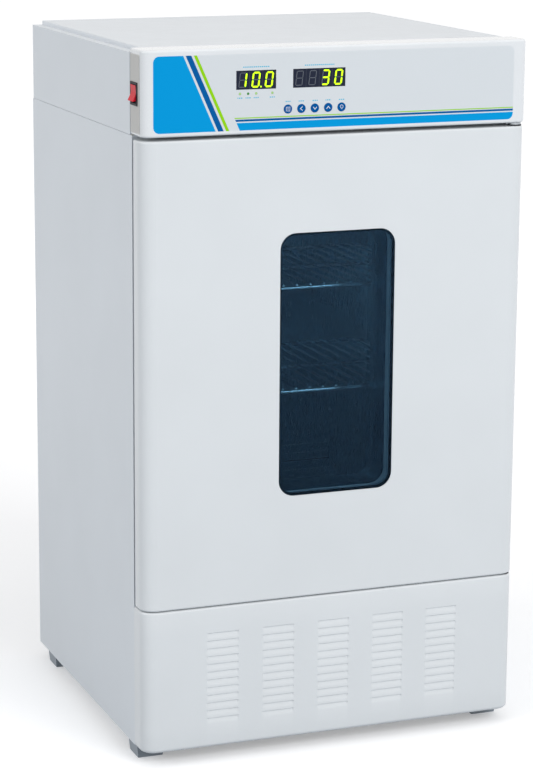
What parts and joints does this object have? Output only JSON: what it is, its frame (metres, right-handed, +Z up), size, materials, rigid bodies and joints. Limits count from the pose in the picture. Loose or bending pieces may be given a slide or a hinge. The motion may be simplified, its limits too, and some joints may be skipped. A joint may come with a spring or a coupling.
{
  "type": "benchtop incubator",
  "caption": "Cooled benchtop incubator cabinet with an insulated windowed door, wire shelves, louvred plinth and a control header with displays and keys.",
  "frame": {"origin": "on the floor, under the middle of the cabinet", "axes": "+Z up, +X to the right along the front, +Y from the front to the back"},
  "size_m": [0.5048, 0.4624, 0.88],
  "materials": {
    "cabinet_paint": "satin",
    "front_paint": "satin",
    "overlay_film": "satin",
    "galvanised": "dull",
    "stainless": "brushed",
    "aluminium": "mill finish",
    "foam": "rigid foam",
    "frame_plastic": "moulded",
    "gasket_rubber": "soft",
    "tinted_glass": "tinted",
    "clear_glass": "clear",
    "lamp_glass": "frosted",
    "display_lens": "smoked",
    "indicator_green": "diffused",
    "circuit_board": "lacquered",
    "switch_label": "printed film",
    "black_plastic": "moulded",
    "rocker_red": "translucent look",
    "key_blue": "printed key",
    "compressor_enamel": "gloss"
  },
  "bodies": {
    "cabinet": {"side_panel_left": "cabinet_paint", "side_panel_right": "cabinet_paint", "rear_panel": "galvanised", "rear_screws": "galvanised", "base_tray": "galvanised", "machine_deck": "galvanised", "front_frame": "frame_plastic", "insulation": "foam", "chamber_liner": "stainless", "duct_panel": "stainless", "circulation_fan_motor": "compressor_enamel", "heater_coil": "stainless", "evaporator_coil": "aluminium", "temperature_probe": "stainless", "chamber_lamp": "lamp_glass", "shelf_rack_left": "stainless", "shelf_rack_right": "stainless", "hinge_bracket_upper": "galvanised", "hinge_bracket_lower": "galvanised", "kick_panel": "front_paint", "control_overlay": "overlay_film", "header_panel": "front_paint", "display_temperature": "display_lens", "display_timer": "display_lens", "display_board": "circuit_board", "indicator_leds": "indicator_green", "switch_plate": "switch_label", "power_switch_body": "black_plastic", "control_case": "cabinet_paint", "top_cover": "cabinet_paint", "power_board": "circuit_board", "foot_front_left": "cabinet_paint", "foot_rear_left": "cabinet_paint", "foot_front_right": "cabinet_paint", "foot_rear_right": "cabinet_paint", "compressor": "compressor_enamel", "compressor_mounts": "gasket_rubber", "condenser_coil": "aluminium", "condenser_fan_frame": "galvanised", "power_inlet": "black_plastic"},
    "door": {"door_skin": "front_paint", "door_foam": "foam", "door_liner": "stainless", "door_gasket": "gasket_rubber", "window_outer_glass": "tinted_glass", "window_inner_glass": "clear_glass", "window_seal": "gasket_rubber", "window_spacer": "aluminium", "hinge_bush_lower": "frame_plastic", "hinge_bush_upper": "frame_plastic"},
    "shelf_top": {"shelf_upper": "stainless"},
    "shelf_bottom": {"shelf_lower": "stainless"},
    "rocker": {"rocker_actuator": "rocker_red"},
    "circulation_rotor": {"circulation_fan": "black_plastic"},
    "condenser_rotor": {"condenser_fan": "black_plastic"},
    "key_body_1": {"key_1": "key_blue"},
    "key_body_2": {"key_2": "key_blue"},
    "key_body_3": {"key_3": "key_blue"},
    "key_body_4": {"key_4": "key_blue"},
    "key_body_5": {"key_5": "key_blue"}
  },
  "joints": [
    {"name": "door_hinge", "type": "hinge", "parent": "cabinet", "child": "door", "pos_m": [0.238, -0.217, 0.48], "axis": [0, 0, 1], "range_deg": [0, 110]},
    {"name": "shelf_upper_slide", "type": "slide", "parent": "cabinet", "child": "shelf_top", "axis": [0, -1, 0], "range_m": [0, 0.012]},
    {"name": "shelf_lower_slide", "type": "slide", "parent": "cabinet", "child": "shelf_bottom", "axis": [0, -1, 0], "range_m": [0, 0.012]},
    {"name": "power_rocker", "type": "hinge", "parent": "cabinet", "child": "rocker", "pos_m": [-0.2474, -0.2025, 0.828], "axis": [0, -1, 0], "range_deg": [0, 20]},
    {"name": "circulation_fan_spin", "type": "hinge", "parent": "cabinet", "child": "circulation_rotor", "pos_m": [0, 0.147, 0.52], "axis": [0, 1, 0], "continuous": true},
    {"name": "condenser_fan_spin", "type": "hinge", "parent": "cabinet", "child": "condenser_rotor", "pos_m": [-0.06, -0.123, 0.0797], "axis": [0, 1, 0], "continuous": true},
    {"name": "key_1_press", "type": "slide", "parent": "cabinet", "child": "key_body_1", "axis": [0, 1, 0], "range_m": [0, 0.0004], "stiffness_N_per_m": 900},
    {"name": "key_2_press", "type": "slide", "parent": "cabinet", "child": "key_body_2", "axis": [0, 1, 0], "range_m": [0, 0.0004], "stiffness_N_per_m": 900},
    {"name": "key_3_press", "type": "slide", "parent": "cabinet", "child": "key_body_3", "axis": [0, 1, 0], "range_m": [0, 0.0004], "stiffness_N_per_m": 900},
    {"name": "key_4_press", "type": "slide", "parent": "cabinet", "child": "key_body_4", "axis": [0, 1, 0], "range_m": [0, 0.0004], "stiffness_N_per_m": 900},
    {"name": "key_5_press", "type": "slide", "parent": "cabinet", "child": "key_body_5", "axis": [0, 1, 0], "range_m": [0, 0.0004], "stiffness_N_per_m": 900}
  ]
}
